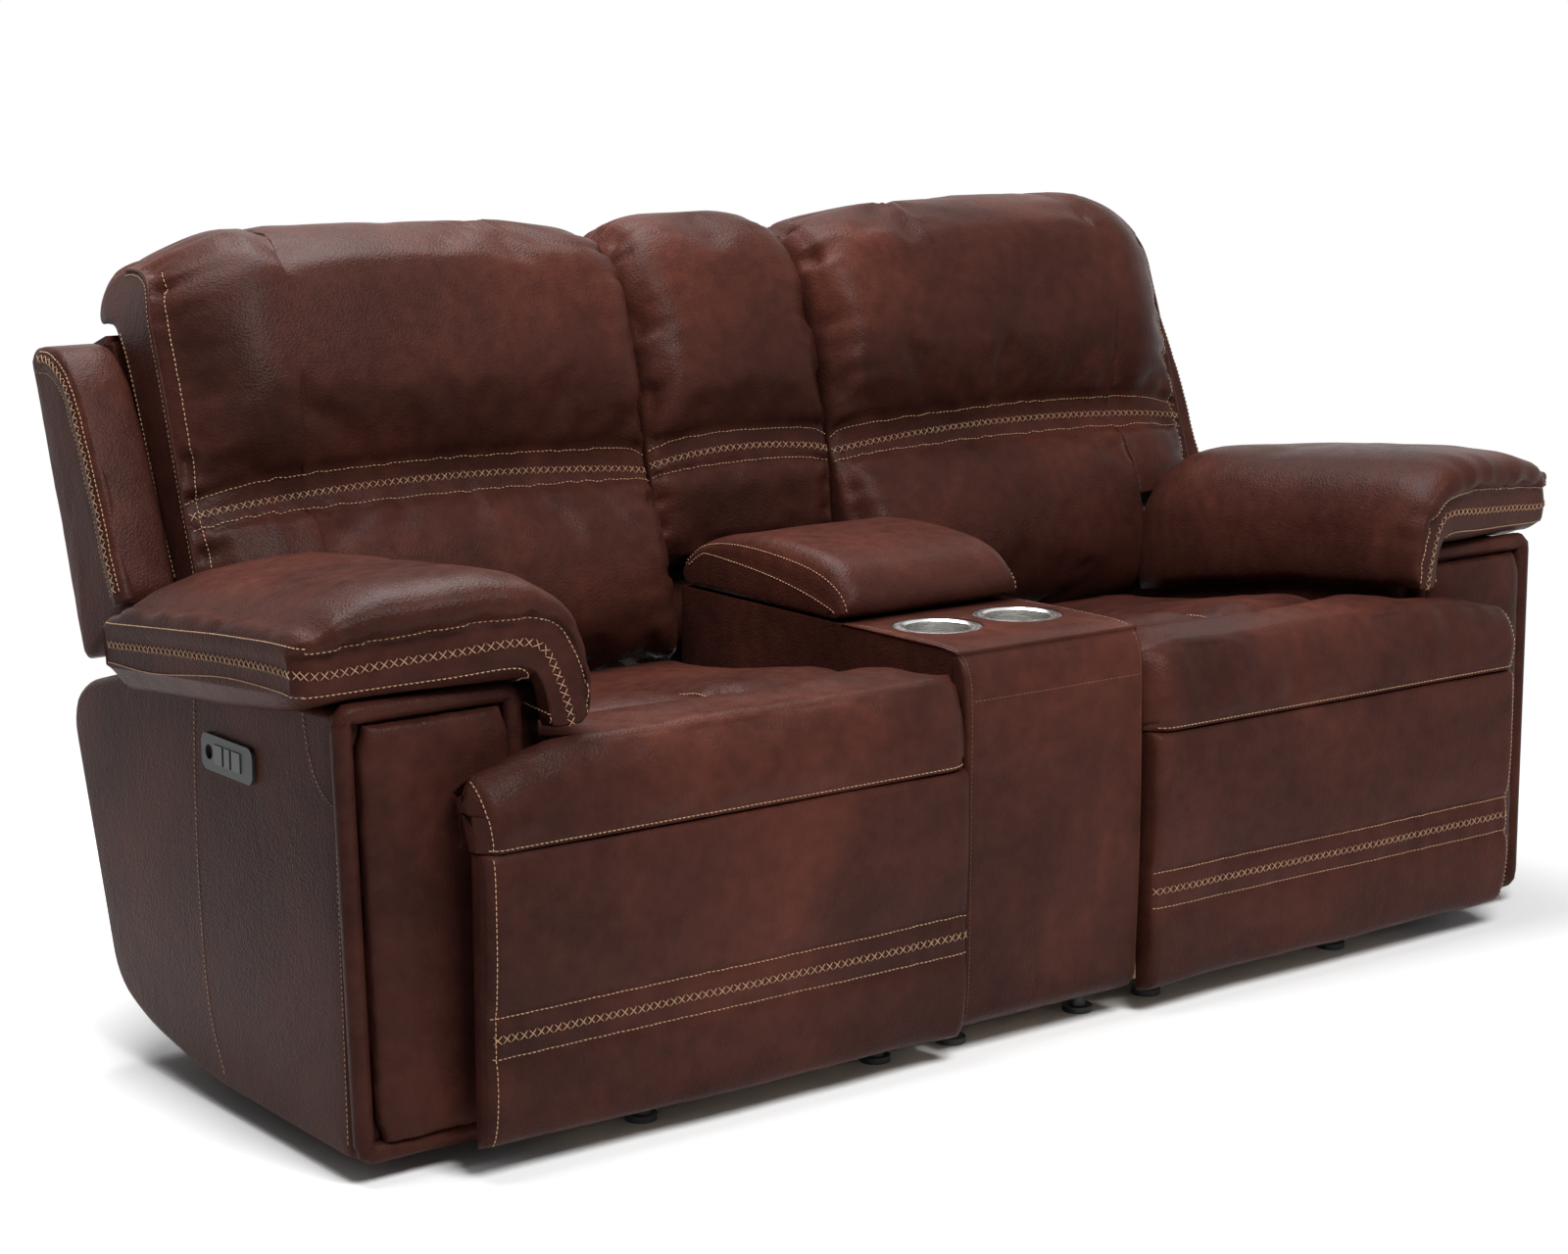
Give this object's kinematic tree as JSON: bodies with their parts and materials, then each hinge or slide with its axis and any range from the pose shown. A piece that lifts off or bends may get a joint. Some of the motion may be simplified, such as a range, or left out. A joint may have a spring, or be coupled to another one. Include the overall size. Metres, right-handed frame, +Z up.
{
  "type": "power reclining loveseat",
  "caption": "Leather power reclining loveseat with a storage console, cup holders, pillow arms, tilting headrests and swing-out footrests.",
  "frame": {"origin": "on the floor under the middle of the whole at rest", "axes": "+Z up, -Y is the front, +X to the right of someone who looks at the front"},
  "size_m": [2.074, 0.9856, 1.0338],
  "materials": {
    "leather": "satin",
    "timber": "matte",
    "mechanism_steel": "satin",
    "stainless": "satin",
    "black_plastic": "matte",
    "key_plastic": "satin",
    "webbing": "matte"
  },
  "bodies": {
    "frame": {"feet": "black_plastic", "front_cross_rail": "timber", "rear_cross_rail": "timber", "lower_rear_panel": "leather", "arm_left": "leather", "arm_right": "leather", "arm_front_panel_left": "leather", "arm_front_panel_right": "leather", "arm_pad_left": "leather", "arm_pad_right": "leather", "control_bezel_left": "black_plastic", "control_bezel_right": "black_plastic", "console_box": "leather", "console_front_panel": "leather", "console_deck": "leather", "cup_holders": "stainless", "middle_back_frame": "timber", "middle_back_cushion": "leather", "mechanism_plates_left": "mechanism_steel", "mechanism_plates_right": "mechanism_steel", "seat_frame_left": "timber", "seat_frame_right": "timber", "seat_webbing_left": "webbing", "seat_webbing_right": "webbing", "seat_cushion_left": "leather", "seat_cushion_right": "leather", "seat_roll_left": "leather", "seat_roll_right": "leather", "motor_left": "black_plastic", "motor_right": "black_plastic"},
    "console_lid": {"console_lid": "timber", "console_lid_pad": "leather"},
    "back_left": {"back_panel_left": "timber", "lumbar_cushion_left": "leather", "wing_left": "leather", "rear_cover_left": "leather"},
    "headrest_left": {"headrest_bracket_left": "mechanism_steel", "headrest_cushion_left": "leather"},
    "crank_left": {"crank_links_left": "mechanism_steel"},
    "push_left": {"push_links_left": "mechanism_steel"},
    "footrest_left": {"footrest_board_left": "timber", "footrest_pad_left": "leather"},
    "drive_left": {"drive_block_left": "mechanism_steel"},
    "recline_key_left": {"recline_key_left": "key_plastic"},
    "home_key_left": {"home_key_left": "key_plastic"},
    "head_key_left": {"head_key_left": "key_plastic"},
    "back_right": {"back_panel_right": "timber", "lumbar_cushion_right": "leather", "wing_right": "leather", "rear_cover_right": "leather"},
    "headrest_right": {"headrest_bracket_right": "mechanism_steel", "headrest_cushion_right": "leather"},
    "crank_right": {"crank_links_right": "mechanism_steel"},
    "push_right": {"push_links_right": "mechanism_steel"},
    "footrest_right": {"footrest_board_right": "timber", "footrest_pad_right": "leather"},
    "drive_right": {"drive_block_right": "mechanism_steel"},
    "recline_key_right": {"recline_key_right": "key_plastic"},
    "home_key_right": {"home_key_right": "key_plastic"},
    "head_key_right": {"head_key_right": "key_plastic"}
  },
  "joints": [
    {"name": "recline_left", "type": "hinge", "parent": "frame", "child": "back_left", "pos_m": [-0.43, 0.17, 0.33], "axis": [-1, 0, 0], "range_deg": [0, 25]},
    {"name": "headrest_left", "type": "hinge", "parent": "back_left", "child": "headrest_left", "pos_m": [-0.43, 0.27338, 0.66662], "axis": [1, 0, 0], "range_deg": [0, 25]},
    {"name": "crank_left", "type": "hinge", "parent": "frame", "child": "crank_left", "pos_m": [-0.43, -0.3, 0.29], "axis": [-1, 0, 0], "range_deg": [0, 132.58]},
    {"name": "push_left", "type": "hinge", "parent": "crank_left", "child": "push_left", "pos_m": [-0.43, -0.12441, 0.15746], "axis": [1, 0, 0], "range_deg": [0, 107.84]},
    {"name": "footrest_left", "type": "hinge", "parent": "push_left", "child": "footrest_left", "pos_m": [-0.43, -0.415, 0.12], "axis": [-1, 0, 0], "range_deg": [0, 65.26]},
    {"name": "drive_left", "type": "slide", "parent": "frame", "child": "drive_left", "axis": [0, -1, 0], "range_m": [0, 0.15]},
    {"name": "recline_key_left", "type": "slide", "parent": "frame", "child": "recline_key_left", "axis": [1, 0, 0], "range_m": [0, 0.0015], "stiffness_N_per_m": 800, "springref_m": -0.001},
    {"name": "home_key_left", "type": "slide", "parent": "frame", "child": "home_key_left", "axis": [1, 0, 0], "range_m": [0, 0.0015], "stiffness_N_per_m": 800, "springref_m": -0.001},
    {"name": "head_key_left", "type": "slide", "parent": "frame", "child": "head_key_left", "axis": [1, 0, 0], "range_m": [0, 0.0015], "stiffness_N_per_m": 800, "springref_m": -0.001},
    {"name": "recline_right", "type": "hinge", "parent": "frame", "child": "back_right", "pos_m": [0.43, 0.17, 0.33], "axis": [-1, 0, 0], "range_deg": [0, 25]},
    {"name": "headrest_right", "type": "hinge", "parent": "back_right", "child": "headrest_right", "pos_m": [0.43, 0.27338, 0.66662], "axis": [1, 0, 0], "range_deg": [0, 25]},
    {"name": "crank_right", "type": "hinge", "parent": "frame", "child": "crank_right", "pos_m": [0.43, -0.3, 0.29], "axis": [-1, 0, 0], "range_deg": [0, 132.58]},
    {"name": "push_right", "type": "hinge", "parent": "crank_right", "child": "push_right", "pos_m": [0.43, -0.12441, 0.15746], "axis": [1, 0, 0], "range_deg": [0, 107.84]},
    {"name": "footrest_right", "type": "hinge", "parent": "push_right", "child": "footrest_right", "pos_m": [0.43, -0.415, 0.12], "axis": [-1, 0, 0], "range_deg": [0, 65.26]},
    {"name": "drive_right", "type": "slide", "parent": "frame", "child": "drive_right", "axis": [0, -1, 0], "range_m": [0, 0.15]},
    {"name": "recline_key_right", "type": "slide", "parent": "frame", "child": "recline_key_right", "axis": [-1, 0, 0], "range_m": [0, 0.0015], "stiffness_N_per_m": 800, "springref_m": -0.001},
    {"name": "home_key_right", "type": "slide", "parent": "frame", "child": "home_key_right", "axis": [-1, 0, 0], "range_m": [0, 0.0015], "stiffness_N_per_m": 800, "springref_m": -0.001},
    {"name": "head_key_right", "type": "slide", "parent": "frame", "child": "head_key_right", "axis": [-1, 0, 0], "range_m": [0, 0.0015], "stiffness_N_per_m": 800, "springref_m": -0.001},
    {"name": "lid", "type": "hinge", "parent": "frame", "child": "console_lid", "pos_m": [0, 0.147, 0.533], "axis": [-1, 0, 0], "range_deg": [0, 65]}
  ],
  "couplings": [
    {"joint": "crank_left", "follows": "recline_left", "ratio": 5.3033},
    {"joint": "push_left", "follows": "recline_left", "ratio": 4.3135},
    {"joint": "footrest_left", "follows": "recline_left", "ratio": 2.6102},
    {"joint": "drive_left", "follows": "recline_left", "m_per_rad": 0.34377},
    {"joint": "crank_right", "follows": "recline_right", "ratio": 5.3033},
    {"joint": "push_right", "follows": "recline_right", "ratio": 4.3135},
    {"joint": "footrest_right", "follows": "recline_right", "ratio": 2.6102},
    {"joint": "drive_right", "follows": "recline_right", "m_per_rad": 0.34377}
  ]
}
